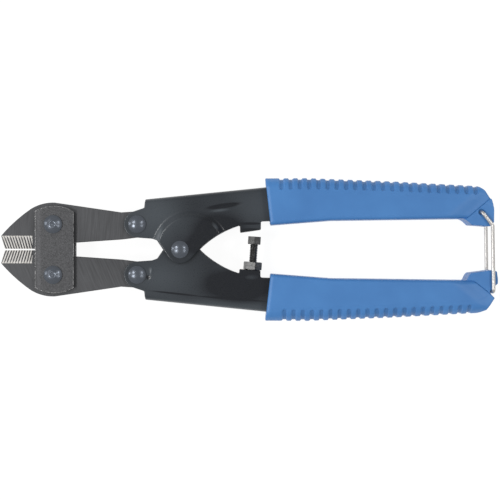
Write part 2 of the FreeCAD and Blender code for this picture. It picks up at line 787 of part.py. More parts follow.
os.makedirs("parts", exist_ok=True)
for part in parts:
    shape = part.Shape
    if shape.isNull() or not shape.isValid() or len(shape.Solids) != 1:
        raise RuntimeError(f"{part.Label}: not one valid solid")
    shape.exportStep(f"parts/{part.Label}.step")
    box = shape.BoundBox
    print(f"{part.Label:18} {shape.Volume:9.1f}  x {box.XMin:7.2f} {box.XMax:7.2f}"
          f"  y {box.YMin:7.2f} {box.YMax:7.2f}  z {box.ZMin:6.2f} {box.ZMax:6.2f}")
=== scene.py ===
"""The looks of the bolt cutters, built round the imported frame, in metres."""
import json
import math

import bmesh
import bpy
from mathutils import Matrix, Vector, noise


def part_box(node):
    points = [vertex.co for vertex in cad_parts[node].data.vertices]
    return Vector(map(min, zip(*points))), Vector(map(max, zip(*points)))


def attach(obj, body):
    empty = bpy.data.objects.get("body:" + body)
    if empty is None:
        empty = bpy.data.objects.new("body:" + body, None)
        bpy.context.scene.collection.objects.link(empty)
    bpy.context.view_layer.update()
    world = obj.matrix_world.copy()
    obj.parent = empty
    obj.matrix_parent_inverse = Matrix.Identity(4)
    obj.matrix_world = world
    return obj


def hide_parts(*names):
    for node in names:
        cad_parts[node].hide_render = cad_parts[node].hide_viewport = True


MM = 0.001

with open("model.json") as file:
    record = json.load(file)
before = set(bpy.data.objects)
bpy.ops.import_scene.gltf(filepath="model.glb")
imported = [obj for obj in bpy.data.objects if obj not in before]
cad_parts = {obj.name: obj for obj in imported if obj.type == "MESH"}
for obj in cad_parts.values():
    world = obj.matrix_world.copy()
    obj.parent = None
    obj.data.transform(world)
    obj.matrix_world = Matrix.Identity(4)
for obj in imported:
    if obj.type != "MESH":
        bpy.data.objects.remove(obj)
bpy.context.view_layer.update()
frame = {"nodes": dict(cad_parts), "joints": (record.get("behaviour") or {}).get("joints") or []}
scene = bpy.context.scene


# ---------------------------------------------------------------- places from the frame

def middle_of(node):
    low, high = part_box(node)
    return (low + high) / 2


def joint_named(name):
    return [joint for joint in frame["joints"] if joint["name"] == name][0]


CENTRE = middle_of("centre_rivet")
MID_Z = CENTRE.z
JAW_LOW, JAW_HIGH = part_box("upper_jaw")
PLATE_LOW, PLATE_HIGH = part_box("front_link_plate")

SIDES = (("upper", 1), ("lower", -1))

# Levels of a handle's side plate, from the mid-plane
PLATE_INSIDE = 2.4 * MM
PLATE_OUTSIDE = 4.7 * MM


# ---------------------------------------------------------------- camera, light and floor

VIEW_WIDTH = 0.21155
VIEW_DISTANCE = 0.54
VIEW_SHIFT = -0.0002
SENSOR = 36.0
AIM = Vector((0, 0, MID_Z))

# Soft boxes: name, place, width and watts
BOXES = [
    ("top_left_box", (-0.44, 0.24, 0.64), 0.17, 1.3),
    ("left_box", (-0.44, -0.15, 0.64), 0.17, 1.8),
    ("top_right_box", (0.44, 0.24, 0.64), 0.16, 0.8),
    ("right_box", (0.44, -0.15, 0.64), 0.16, 0.6),
    ("low_left_box", (-0.66, 0.08, 0.27), 0.14, 0.35),
]
WORLD_LIGHT = 0.415
FLOOR_HALF = 3.0
FLOOR_DROP = 0.0002
FLOOR_GLOW = 0.93


def make_camera():
    """Looks straight down on the tool, far enough off to see a little of its ends' sides."""
    data = bpy.data.cameras.new("camera")
    data.sensor_width = SENSOR
    data.lens = SENSOR * VIEW_DISTANCE / VIEW_WIDTH
    data.clip_start = 0.01
    camera = bpy.data.objects.new("camera", data)
    camera.location = (VIEW_SHIFT, VIEW_SHIFT, MID_Z + VIEW_DISTANCE)
    scene.collection.objects.link(camera)
    scene.camera = camera


def area_light(name, place, size, watts):
    """A square soft box aimed at the middle of the tool."""
    data = bpy.data.lights.new(name, "AREA")
    data.shape = "SQUARE"
    data.size = size
    data.energy = watts
    light = bpy.data.objects.new(name, data)
    light.location = place
    light.rotation_euler = (AIM - Vector(place)).to_track_quat("-Z", "Y").to_euler()
    scene.collection.objects.link(light)


def make_studio():
    """An even white surround with soft boxes high on both sides and one low on the left."""
    world = bpy.data.worlds.new("studio")
    scene.world = world
    world.use_nodes = True
    back = world.node_tree.nodes["Background"]
    back.inputs["Color"].default_value = (1.0, 1.0, 1.0, 1.0)
    back.inputs["Strength"].default_value = WORLD_LIGHT
    for name, place, size, watts in BOXES:
        area_light(name, place, size, watts)
    scene.view_settings.view_transform = "Standard"


def make_floor():
    """A white sheet just under the tool, bright enough to show almost no shadow."""
    mesh = bpy.data.meshes.new("floor")
    corners = [(-1, -1), (1, -1), (1, 1), (-1, 1)]
    points = [(x * FLOOR_HALF, y * FLOOR_HALF, -FLOOR_DROP) for x, y in corners]
    mesh.from_pydata(points, [], [(0, 1, 2, 3)])
    floor = bpy.data.objects.new("floor", mesh)
    scene.collection.objects.link(floor)
    material, shader = new_material("floor_paper", (0.12, 0.12, 0.12), 0.9)
    shader.inputs["Emission Color"].default_value = (1.0, 1.0, 1.0, 1.0)
    shader.inputs["Emission Strength"].default_value = FLOOR_GLOW
    mesh.materials.append(material)


# ---------------------------------------------------------------- materials

def new_material(name, colour, roughness, metallic=0.0):
    material = bpy.data.materials.new(name)
    material.use_nodes = True
    shader = material.node_tree.nodes["Principled BSDF"]
    shader.inputs["Base Color"].default_value = (*colour, 1.0)
    shader.inputs["Roughness"].default_value = roughness
    shader.inputs["Metallic"].default_value = metallic
    return material, shader


class Nodes:
    """Short names for the shader nodes that the materials share."""

    def __init__(self, material):
        self.tree = material.node_tree
        self.place = self.tree.nodes.new("ShaderNodeTexCoord").outputs["Object"]

    def add(self, kind, **settings):
        node = self.tree.nodes.new(kind)
        for name, value in settings.items():
            setattr(node, name, value)
        return node

    def join(self, source, target):
        self.tree.links.new(source, target)

    def stretched(self, scale, turn=0.0):
        """The place, turned about Z and then stretched."""
        turned = self.add("ShaderNodeMapping")
        turned.inputs["Rotation"].default_value = (0, 0, turn)
        self.join(self.place, turned.inputs["Vector"])
        mapping = self.add("ShaderNodeMapping")
        mapping.inputs["Scale"].default_value = scale
        self.join(turned.outputs["Vector"], mapping.inputs["Vector"])
        return mapping.outputs["Vector"]

    def noise(self, scale, detail=4.0, roughness=0.6, vector=None):
        node = self.add("ShaderNodeTexNoise")
        node.inputs["Scale"].default_value = scale
        node.inputs["Detail"].default_value = detail
        node.inputs["Roughness"].default_value = roughness
        self.join(vector or self.place, node.inputs["Vector"])
        return node.outputs["Fac"]

    def math(self, operation, first, second, third=None):
        node = self.add("ShaderNodeMath", operation=operation)
        for socket, value in zip(node.inputs, (first, second, third)):
            if isinstance(value, (int, float)):
                socket.default_value = value
            elif value is not None:
                self.join(value, socket)
        return node.outputs["Value"]

    def blob(self, centre, reach, turn=0.0):
        """1 at the centre, falling softly to 0 at reach, seen from above; reach is (x, y)."""
        mapping = self.add("ShaderNodeMapping", vector_type="TEXTURE")
        mapping.inputs["Location"].default_value = (*centre, 0)
        mapping.inputs["Rotation"].default_value = (0, 0, turn)
        mapping.inputs["Scale"].default_value = (*reach, 1000)
        self.join(self.place, mapping.inputs["Vector"])
        length = self.add("ShaderNodeVectorMath", operation="LENGTH")
        self.join(mapping.outputs["Vector"], length.inputs[0])
        fall = self.add("ShaderNodeMapRange", interpolation_type="SMOOTHSTEP")
        fall.inputs["To Min"].default_value = 1.0
        fall.inputs["To Max"].default_value = 0.0
        self.join(length.outputs["Value"], fall.inputs["Value"])
        return fall.outputs["Result"]

    def ramp(self, source, stops):
        node = self.add("ShaderNodeValToRGB")
        elements = node.color_ramp.elements
        while len(elements) < len(stops):
            elements.new(0.5)
        for element, (position, colour) in zip(elements, stops):
            element.position = position
            element.color = (*colour, 1.0)
        self.join(source, node.inputs["Fac"])
        return node.outputs["Color"]

    def spread(self, source, low, high):
        """Maps 0.3..0.7, where most of a noise lies, to low..high."""
        node = self.add("ShaderNodeMapRange")
        node.inputs["From Min"].default_value = 0.3
        node.inputs["From Max"].default_value = 0.7
        node.inputs["To Min"].default_value = low
        node.inputs["To Max"].default_value = high
        self.join(source, node.inputs["Value"])
        return node.outputs["Result"]

    def bump(self, heights, shader):
        """Stacks (height source, depth in metres) bumps and gives the shader the result."""
        normal = None
        for source, depth in heights:
            node = self.add("ShaderNodeBump")
            node.inputs["Strength"].default_value = 1.0
            node.inputs["Distance"].default_value = depth
            self.join(source, node.inputs["Height"])
            if normal is not None:
                self.join(normal, node.inputs["Normal"])
            normal = node.outputs["Normal"]
        self.join(normal, shader.inputs["Normal"])


def grey(level, tint=(1.0, 1.0, 1.0)):
    """A grey of this level, or the tint made this much brighter or darker."""
    return tuple(level * part for part in tint)


def jaw_steel(name, turn):
    """Dark forged steel, ground flat, with fine lines that run across the jaw."""
    material, shader = new_material(name, grey(0.07), 0.5, 0.5)
    nodes = Nodes(material)
    lines = nodes.noise(1.0, 3.0, 0.6, nodes.stretched((2200, 90, 300), turn))
    clouds = nodes.noise(70.0, 3.0, 0.5)
    tint = (0.98, 1.0, 1.06)
    marks = nodes.math("MULTIPLY_ADD", clouds, 0.35, nodes.math("MULTIPLY", lines, 0.65))
    colour = nodes.ramp(marks, [(0.32, grey(0.05, tint)), (0.7, grey(0.1, tint))])
    nodes.join(colour, shader.inputs["Base Color"])
    nodes.join(nodes.spread(lines, 0.45, 0.6), shader.inputs["Roughness"])
    nodes.bump([(lines, 0.00002)], shader)
    return material


def link_steel():
    """Sandblasted dark steel with a fine speckle, and a painted highlight: a lighter band along the
    plate's left edge.
    """
    material, shader = new_material("link_steel", grey(0.08), 0.55, 0.45)
    nodes = Nodes(material)
    grit = nodes.noise(2800.0, 3.0, 0.7)
    tint = (0.99, 1.0, 1.05)
    # A painted highlight: a lighter band just inside the plate's left edge.
    painted_edge_highlight = nodes.blob((PLATE_LOW.x + 1.6 * MM, 0), (1.5 * MM, 60 * MM))
    shade = nodes.math("MULTIPLY_ADD", painted_edge_highlight, 0.12, grit)
    colour = nodes.ramp(shade, [(0.36, grey(0.042, tint)), (0.72, grey(0.125, tint))])
    nodes.join(colour, shader.inputs["Base Color"])
    nodes.join(nodes.spread(grit, 0.62, 0.45), shader.inputs["Roughness"])
    nodes.bump([(grit, 0.000025)], shader)
    return material


def worn_steel():
    """Steel rubbed bright where an edge has lost its finish."""
    material, shader = new_material("worn_steel", grey(0.4), 0.35, 0.85)
    nodes = Nodes(material)
    breaks = nodes.noise(1100.0, 4.0, 0.7)
    colour = nodes.ramp(breaks, [(0.42, grey(0.09)), (0.58, grey(0.6))])
    nodes.join(colour, shader.inputs["Base Color"])
    return material


def ground_steel():
    """Bright freshly ground steel."""
    material, shader = new_material("ground_steel", (0.8, 0.78, 0.74), 0.3, 0.45)
    nodes = Nodes(material)
    lines = nodes.noise(1.0, 3.0, 0.6, nodes.stretched((3200, 300, 500)))
    colour = nodes.ramp(lines, [(0.35, (0.7, 0.67, 0.62)), (0.65, (0.97, 0.95, 0.92))])
    nodes.join(colour, shader.inputs["Base Color"])
    nodes.join(nodes.spread(lines, 0.3, 0.45), shader.inputs["Roughness"])
    return material


def valley_steel():
    """The brown-grey bottom of each grinding mark."""
    material, shader = new_material("valley_steel", (0.1, 0.085, 0.07), 0.5, 0.5)
    nodes = Nodes(material)
    rust = nodes.noise(900.0, 4.0, 0.6)
    colour = nodes.ramp(rust, [(0.35, (0.07, 0.058, 0.046)), (0.65, (0.19, 0.165, 0.13))])
    nodes.join(colour, shader.inputs["Base Color"])
    return material


def rivet_steel():
    """Dark polished rivet metal."""
    material, shader = new_material("rivet_steel", (0.12, 0.135, 0.16), 0.25, 0.6)
    nodes = Nodes(material)
    marks = nodes.noise(700.0, 3.0, 0.6)
    nodes.join(nodes.spread(marks, 0.2, 0.32), shader.inputs["Roughness"])
    nodes.bump([(marks, 0.000004)], shader)
    return material


def handle_paint(name, sheen_and_shade_spots):
    """Gloss black paint, lighter and darker in soft patches: painted reflections and painted shade in its
    colour.
    """
    material, shader = new_material(name, (0.02, 0.021, 0.024), 0.3)
    shader.inputs["Coat Weight"].default_value = 0.2
    shader.inputs["Specular IOR Level"].default_value = 0.35
    shader.inputs["Coat Roughness"].default_value = 0.15
    nodes = Nodes(material)
    peel = nodes.noise(700.0, 2.0, 0.5)
    dust = nodes.noise(2200.0, 3.0, 0.6)
    # A large soft noise and the listed spots paint reflections and shade into the paint's colour.
    shade = nodes.math("MULTIPLY", nodes.noise(38.0, 2.0, 0.5), 0.25)
    for centre, reach, degrees, weight in sheen_and_shade_spots:
        middle = [MM * part for part in centre]
        size = [MM * part for part in reach]
        painted_spot = nodes.blob(middle, size, math.radians(degrees))
        shade = nodes.math("MULTIPLY_ADD", painted_spot, 0.5 * weight, shade)
    # The lightest stop is the colour of the painted reflections; the darkest is painted shade.
    stops = [(0.02, (0.006, 0.008, 0.012)), (0.4, (0.068, 0.08, 0.092)), (0.8, (0.2, 0.215, 0.23))]
    colour = nodes.ramp(shade, stops)
    nodes.join(colour, shader.inputs["Base Color"])
    nodes.join(nodes.spread(dust, 0.24, 0.4), shader.inputs["Roughness"])
    nodes.bump([(peel, 0.00001)], shader)
    return material


def black_oxide():
    """Black oxide on the bolt, thinner in random patches."""
    material, shader = new_material("black_oxide", grey(0.05), 0.35, 0.8)
    nodes = Nodes(material)
    wear = nodes.noise(1100.0, 4.0, 0.65)
    colour = nodes.ramp(wear, [(0.35, grey(0.07)), (0.7, grey(0.15))])
    nodes.join(colour, shader.inputs["Base Color"])
    nodes.join(nodes.spread(wear, 0.25, 0.45), shader.inputs["Roughness"])
    return material


def grip_plastic(name, shade):
    """Blue moulded plastic with a satin skin."""
    material, shader = new_material(name, (0.057, 0.218, 0.54), 0.42)
    nodes = Nodes(material)
    clouds = nodes.noise(60.0, 3.0, 0.5)
    grain = nodes.noise(2400.0, 2.0, 0.6)
    # A shade below 1 darkens the blue; the groove floors use it as painted shade.
    deep = grey(shade, (0.05, 0.187, 0.47))
    light = grey(shade, (0.062, 0.22, 0.53))
    colour = nodes.ramp(clouds, [(0.3, deep), (0.7, light)])
    nodes.join(colour, shader.inputs["Base Color"])
    nodes.join(nodes.spread(grain, 0.38, 0.5), shader.inputs["Roughness"])
    nodes.bump([(grain, 0.000012)], shader)
    return material


def chrome_wire():
    material, shader = new_material("chrome_wire", (0.6, 0.58, 0.56), 0.3, 0.85)
    nodes = Nodes(material)
    smears = nodes.noise(120.0, 3.0, 0.6)
    nodes.join(nodes.spread(smears, 0.29, 0.34), shader.inputs["Roughness"])
    return material


# ---------------------------------------------------------------- mesh helpers

def piece_from(name, bm, materials, smooth_angle=35):
    """Makes an object of a bmesh, smooth except at edges sharper than smooth_angle degrees."""
    mesh = bpy.data.meshes.new(name)
    bm.normal_update()
    bm.to_mesh(mesh)
    bm.free()
    for material in materials:
        mesh.materials.append(material)
    mesh.polygons.foreach_set("use_smooth", [True] * len(mesh.polygons))
    mesh.set_sharp_from_angle(angle=math.radians(smooth_angle))
    piece = bpy.data.objects.new(name, mesh)
    scene.collection.objects.link(piece)
    return piece


def cad_mesh(node):
    """A bmesh copy of a CAD node, with its split corners joined and its flat faces made whole."""
    bm = bmesh.new()
    bm.from_mesh(frame["nodes"][node].data)
    bmesh.ops.remove_doubles(bm, verts=bm.verts, dist=1e-6)
    bmesh.ops.dissolve_limit(bm, angle_limit=math.radians(0.5), verts=bm.verts, edges=bm.edges)
    return bm


def sharp_edges(bm, degrees):
    limit = math.radians(degrees)
    return [edge for edge in bm.edges if len(edge.link_faces) == 2 and edge.calc_face_angle(0) > limit]


def soften(bm, width, degrees=32, segments=2, material=-1):
    """Rounds every edge sharper than degrees."""
    bmesh.ops.bevel(
        bm, geom=sharp_edges(bm, degrees), offset=width, offset_type="OFFSET", segments=segments,
        profile=0.5, affect="EDGES", clamp_overlap=False, material=material)


def settle_normals(piece):
    """Keeps flat faces flat beside their rounded edges."""
    modifier = piece.modifiers.new("normals", "WEIGHTED_NORMAL")
    modifier.keep_sharp = True
    modifier.weight = 80
    apply_modifiers(piece)


def apply_modifiers(piece):
    """Replaces a piece's mesh with what its modifiers make of it."""
    depsgraph = bpy.context.evaluated_depsgraph_get()
    mesh = bpy.data.meshes.new_from_object(piece.evaluated_get(depsgraph))
    piece.modifiers.clear()
    piece.data = mesh


def stand_for(piece, node, body):
    """Puts a piece in the place of a CAD node, on the body that it moves with."""
    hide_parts(node)
    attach(piece, body)


def softened_node(node, body, materials, width, segments=2, degrees=32):
    """Stands a rounded-edge copy of a CAD node in its place."""
    bm = cad_mesh(node)
    soften(bm, width, degrees, segments, material=len(materials) - 1)
    piece = piece_from(f"{node}_body", bm, materials)
    settle_normals(piece)
    stand_for(piece, node, body)
    return piece


def lathe(profile, segments, wobble=None):
    """Turns (radius, height) points round the Z axis; the first and last lie on the axis."""
    bm = bmesh.new()
    rings = []
    for radius, height in profile[1:-1]:
        ring = []
        for step in range(segments):
            angle = 2 * math.pi * step / segments
            lift = wobble(radius, angle, height) if wobble else 0
            ring.append(bm.verts.new((radius * math.cos(angle), radius * math.sin(angle), height + lift)))
        rings.append(ring)
    foot = bm.verts.new((0, 0, profile[0][1]))
    crown = bm.verts.new((0, 0, profile[-1][1]))
    for step in range(segments):
        after = (step + 1) % segments
        bm.faces.new((foot, rings[0][after], rings[0][step]))
        for low, high in zip(rings, rings[1:]):
            bm.faces.new((low[step], low[after], high[after], high[step]))
        bm.faces.new((rings[-1][step], rings[-1][after], crown))
    return bm


# ---------------------------------------------------------------- jaws

RIDGE_PITCH = 1.19 * MM
RIDGE_HEIGHT = 0.2 * MM
BEVEL_LENGTH = 13.2 * MM
BEVEL_LOW_Y = 0.3 * MM
BEVEL_HIGH_Y = 5.8 * MM
EDGE_HALF = 0.3 * MM
JAW_HALF = (JAW_HIGH.z - JAW_LOW.z) / 2
TIP_SLOPE = 1.1 * MM
RIDGE_SLANT = 0.95 * MM
RIDGE_SLANT_LOSS = 0.3 * MM
RIDGE_DRIFT = 0.12
SCALLOP_POWER = 0.5
SLAB_DEPTH = 0.35 * MM
PROUD = 0.03 * MM
VALLEY_BELOW = 0.54
BEVEL_COLUMNS = 264
BEVEL_ROWS = 22
JAW_SOFTEN = 0.25 * MM
LINES_TURN = {"upper": 0.08, "lower": -0.42}


def bevel_point(along, across, lift, side, face):
    """A point on a jaw's ground bevel: along from its rear end, across from 0 at the cutting edge to 1."""
    y = BEVEL_LOW_Y + (BEVEL_HIGH_Y - BEVEL_LOW_Y) * across
    z = EDGE_HALF + (JAW_HALF - EDGE_HALF) * across
    run = BEVEL_HIGH_Y - BEVEL_LOW_Y
    rise = JAW_HALF - EDGE_HALF
    length = math.hypot(run, rise)
    y -= lift * rise / length
    z += lift * run / length
    x_rear = JAW_LOW.x + BEVEL_LENGTH
    x_tip = JAW_LOW.x + TIP_SLOPE * (1 - across)
    return Vector((x_rear + (x_tip - x_rear) * along, side * y, MID_Z + face * z))


def make_ground_bevel(name, side, face, body, materials):
    """The scalloped grinding marks on one bevel of one jaw, as a thin closed slab."""
    columns = BEVEL_COLUMNS
    rows = BEVEL_ROWS
    seed = 3 + side + 5 * face
    bm = bmesh.new()
    top = []
    under = []
    valleys = set()
    for column in range(columns + 1):
        along = column / columns
        top_row = []
        under_row = []
        for row in range(rows + 1):
            across = row / rows
            slant = (RIDGE_SLANT - RIDGE_SLANT_LOSS * along) * (1 - across)
            phase = (along * BEVEL_LENGTH + slant) / RIDGE_PITCH
            drift = RIDGE_DRIFT * noise.noise((phase * 0.7, across * 1.3, seed))
            scallop = abs(math.sin(math.pi * (phase + drift))) ** SCALLOP_POWER
            lift = PROUD + RIDGE_HEIGHT * (scallop - 1) * min(1.0, 4 * (1.02 - across))
            if scallop < VALLEY_BELOW:
                valleys.add((column, row))
            top_row.append(bm.verts.new(bevel_point(along, across, lift, side, face)))
            under_row.append(bm.verts.new(bevel_point(along, across, -SLAB_DEPTH, side, face)))
        top.append(top_row)
        under.append(under_row)
    for a in range(columns):
        for b in range(rows):
            crown = bm.faces.new((top[a][b], top[a + 1][b], top[a + 1][b + 1], top[a][b + 1]))
            crown.material_index = int((a, b) in valleys)
            bm.faces.new((under[a][b + 1], under[a + 1][b + 1], under[a + 1][b], under[a][b]))
        bm.faces.new((under[a][0], under[a + 1][0], top[a + 1][0], top[a][0]))
        bm.faces.new((top[a][rows], top[a + 1][rows], under[a + 1][rows], under[a][rows]))
    for b in range(rows):
        bm.faces.new((top[0][b], top[0][b + 1], under[0][b + 1], under[0][b]))
        bm.faces.new((under[columns][b], under[columns][b + 1], top[columns][b + 1], top[columns][b]))
    bmesh.ops.recalc_face_normals(bm, faces=bm.faces)
    piece = piece_from(name, bm, materials, 60)
    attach(piece, body)


def make_jaws():
    """The forged jaws with their eased edges, and the four ground bevels."""
    ground = [ground_steel(), valley_steel()]
    for word, side in SIDES:
        node = f"{word}_jaw"
        steel = jaw_steel(f"{word}_jaw_steel", LINES_TURN[word])
        softened_node(node, node, [steel], JAW_SOFTEN)
        for face_word, face in (("front", 1), ("back", -1)):
            make_ground_bevel(f"{word}_jaw_{face_word}_bevel", side, face, node, ground)


# ---------------------------------------------------------------- link plates and rivets

PLATE_SOFTEN = 0.16 * MM
RIM_HEIGHT = 0.4 * MM
RIM_ROUND = 0.1 * MM
SHANK_SHARE = 0.62
DOME_STEPS = 24
RING_RADIUS = 1.42 * MM
RING_WIDTH = 0.24 * MM
RING_HEIGHT = 0.2 * MM
DISH_DEPTH = 0.16 * MM
RING_OPENS_AT = 0.9


def make_link_plates():
    """Sandblasted plates whose rounded edges are worn bright."""
    metals = [link_steel(), worn_steel()]
    for node in ("front_link_plate", "rear_link_plate"):
        softened_node(node, "link", metals, PLATE_SOFTEN)


def rivet_profile(half, top, head, shank):
    """Half a rivet's outline from the axis below to the axis above: a round cap on a low rim."""
    rim = half + RIM_HEIGHT
    rise = top - rim
    ball = (head ** 2 + rise ** 2) / (2 * rise)
    dome = []
    for step in range(DOME_STEPS + 1):
        radius = head * (1 - step / DOME_STEPS)
        dome.append((radius, top - ball + math.sqrt(ball ** 2 - radius ** 2)))
    upper = [(shank, half), (head - RIM_ROUND, half), (head, half + RIM_ROUND)] + dome
    lower = [(radius, -height) for radius, height in reversed(upper)]
    return lower + upper


def make_rivet(node, body, material, marked, half):
    """A round rivet; a marked one has the ring that the peening tool leaves."""
    low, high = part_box(node)
    middle = (low + high) / 2
    head = (high.x - low.x) / 2
    top = (high.z - low.z) / 2

    def peened(radius, angle, height):
        if not marked:
            return 0
        away = (radius - RING_RADIUS) / RING_WIDTH
        open_side = 0.55 + 0.45 * math.cos(angle - RING_OPENS_AT)
        ring = RING_HEIGHT * math.exp(-away * away) * open_side
        dish = DISH_DEPTH * max(0, 1 - radius / RING_RADIUS)
        return math.copysign(ring, height) - math.copysign(dish, height)

    profile = rivet_profile(half, top, head, SHANK_SHARE * head)
    bm = lathe(profile, 96, peened)
    bmesh.ops.translate(bm, verts=bm.verts, vec=(middle.x, middle.y, MID_Z))
    bmesh.ops.recalc_face_normals(bm, faces=bm.faces)
    piece = piece_from(f"{node}_body", bm, [material], 50)
    stand_for(piece, node, body)


def make_rivets():
    """The five rivets; the spacer inside the joint shares their metal."""
    steel = rivet_steel()
    link_half = PLATE_HIGH.z - MID_Z
    raised_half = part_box("upper_handle")[1].z - MID_Z
    for word, _ in SIDES:
        make_rivet(f"{word}_jaw_rivet", "link", steel, True, link_half)
    for word, _ in SIDES:
        make_rivet(f"{word}_tail_rivet", f"{word}_handle", steel, False, PLATE_OUTSIDE)
    make_rivet("centre_rivet", "lower_handle", steel, False, raised_half)
    frame["nodes"]["pivot_spacer"].data.materials.clear()
    frame["nodes"]["pivot_spacer"].data.materials.append(steel)


# ---------------------------------------------------------------- handles

JOGGLE_HEART = CENTRE + Vector((4.5 * MM, 0, 0))
JOGGLE_TOP = 13.3 * MM
JOGGLE_FOOT = 15.8 * MM
JOGGLE_LIFT = 1.9 * MM
JOGGLE_EASE = 0.7 * MM
JOGGLE_MARGIN = 1 * MM
SNAP_REACH = 0.3 * MM
PRESSED_END = 12 * MM
HANDLE_VOXEL = 0.3 * MM

# Marks pressed into the plates, in mm: start, end, half-width and depth (below 0 for a raised one)
RAISED_MARKS = [((-18.5, 17.0), (-3.0, 19.2), 0.75, 0.34)]
FLAT_MARKS = [
    ((-42.5, 17.3), (-21.4, 19.6), 0.32, 0.16),
    ((-22.0, 19.5), (7.0, 21.8), 0.32, 0.16),
    ((-43.6, 11.0), (-42.4, 12.4), 0.9, 0.3),
    ((-41.9, 7.2), (-41.5, 10.2), 0.4, -0.16),
]


def smooth_step(low, high, value):
    """0 up to low and 1 from high on, with an easy curve between."""
    share = min(1.0, max(0.0, (value - low) / (high - low)))
    return share * share * (3 - 2 * share)


def groove(x, y, start, end, width, depth):
    """How deep a tapered groove from start to end is at this point."""
    run = (end[0] - start[0], end[1] - start[1])
    length = math.hypot(*run)
    along = ((x - start[0]) * run[0] + (y - start[1]) * run[1]) / length ** 2
    if not 0 < along < 1:
        return 0.0
    across = ((x - start[0]) * run[1] - (y - start[1]) * run[0]) / length
    taper = min(1.0, 5 * along, 5 * (1 - along))
    return depth * taper * math.exp(-(across / width) ** 2)


def joggle_drawn(away):
    """The height of the drawn joggle, a plain cone, this far from its middle."""
    return JOGGLE_LIFT * min(1.0, max(0.0, (JOGGLE_FOOT - away) / (JOGGLE_FOOT - JOGGLE_TOP)))


def plate_press(x, y, side, raised):
    """How far the outside of a side plate stands above its drawn level at this point."""
    lift = 0.0
    if raised:
        away = math.hypot(x - JOGGLE_HEART.x, y)
        eased = JOGGLE_LIFT * (1 - smooth_step(JOGGLE_TOP, JOGGLE_FOOT + JOGGLE_EASE, away))
        lift += eased - joggle_drawn(away)
    for start, end, width, depth in RAISED_MARKS if raised else FLAT_MARKS:
        lift -= groove(x / MM, side * y / MM, start, end, width, depth) * MM
    return lift


def voxel_skin(piece, size):
    """Remakes a closed mesh on a fine even grid, which rounds its edges by about one step."""
    remesh = piece.modifiers.new("skin", "REMESH")
    remesh.mode = "VOXEL"
    remesh.voxel_size = size
    remesh.use_smooth_shade = True
    apply_modifiers(piece)


def ease_joggle(piece, side):
    """Smooths the step of the joggle, and the whole skin a very little."""
    step = piece.vertex_groups.new(name="joggle")
    for vert in piece.data.vertices:
        away = math.hypot(vert.co.x - JOGGLE_HEART.x, vert.co.y)
        outside = side * vert.normal.z > 0.6 and side * (vert.co.z - MID_Z) > PLATE_INSIDE
        if outside and JOGGLE_TOP - 1.2 * MM < away < JOGGLE_FOOT + 1.4 * MM:
            step.add([vert.index], 1.0, "REPLACE")
    for group, rounds in (("joggle", 8), ("", 3)):
        smooth = piece.modifiers.new("ease", "SMOOTH")
        smooth.factor = 0.5
        smooth.iterations = rounds
        smooth.vertex_group = group
    apply_modifiers(piece)
    piece.vertex_groups.clear()


# Painted reflections (weight above 0) and painted shade (below 0) in the handle paint's colour: middle,
# reach, turn in degrees, weight
PAINTED_SHEEN_AND_SHADE = {
    1: [
        ((-40, 13), (20, 18), 0, 0.42),
        ((-13, 8), (15, 10), 0, -0.55),
        ((-38.6, 5.5), (1.7, 6.5), -20, 0.75),
        ((-14.6, 9.6), (1.5, 3.6), 38, 0.9),
        ((3, 17), (13, 12), 0, 0.2),
        ((-22, 2), (8, 6), 0, -0.35),
        ((-11, 18.4), (9.5, 1.3), 8, -0.9),
        ((-13, 16.4), (5.5, 0.9), 6, 0.5),
        ((-26, 24.5), (24, 2.2), 5, 0.15),
        ((0, 10.9), (6.5, 0.7), 0, -0.8),
        ((0.3, 8.0), (6.5, 1.2), 0, -0.8),
    ],
    -1: [
        ((-37, -12), (22, 16), 0, 0.36),
        ((-4, -15), (22, 9), 0, -0.7),
        ((-10, -24.6), (60, 4), -4, 0.5),
        ((-32, -18.4), (14, 0.55), -6.2, -0.8),
        ((-7.6, -20.7), (18, 0.55), -4.4, -0.8),
        ((-0.5, -9.2), (6.5, 1.3), 0, -0.8),
        ((-0.2, -11.9), (5.8, 2.2), 0, 0.5),
        ((-43, -11.7), (1.3, 1.3), 0, -0.9),
        ((-41.8, -8.9), (0.6, 2.2), -8, 0.7),
    ],
}


def make_handles():
    """The pressed channels, with soft steps and the small marks that pressing leaves."""
    for word, side in SIDES:
        node = f"{word}_handle"
        # Each handle's paint carries its painted reflections and painted shade.
        paint = handle_paint(f"{word}_handle_paint", PAINTED_SHEEN_AND_SHADE[side])
        piece = piece_from(f"{node}_channel", cad_mesh(node), [paint], 30)
        voxel_skin(piece, HANDLE_VOXEL)
        upright = [vert.normal.z for vert in piece.data.vertices]
        for vert in piece.data.vertices:
            level = vert.co.z - MID_Z
            if abs(level) > PLATE_INSIDE and vert.co.x < PRESSED_END:
                face = math.copysign(1, level)
                away = math.hypot(vert.co.x - JOGGLE_HEART.x, vert.co.y)
                drawn = PLATE_OUTSIDE + joggle_drawn(away)
                on_step = JOGGLE_TOP - JOGGLE_MARGIN < away < JOGGLE_FOOT + JOGGLE_MARGIN
                on_skin = abs(abs(level) - drawn) < SNAP_REACH and side * upright[vert.index] > 0.4
                if face == side and on_step and on_skin:
                    vert.co.z = MID_Z + side * drawn
                vert.co.z += face * plate_press(vert.co.x, vert.co.y, side, face == side)
        ease_joggle(piece, side)
        stand_for(piece, node, node)


# ---------------------------------------------------------------- stop bolt and nut

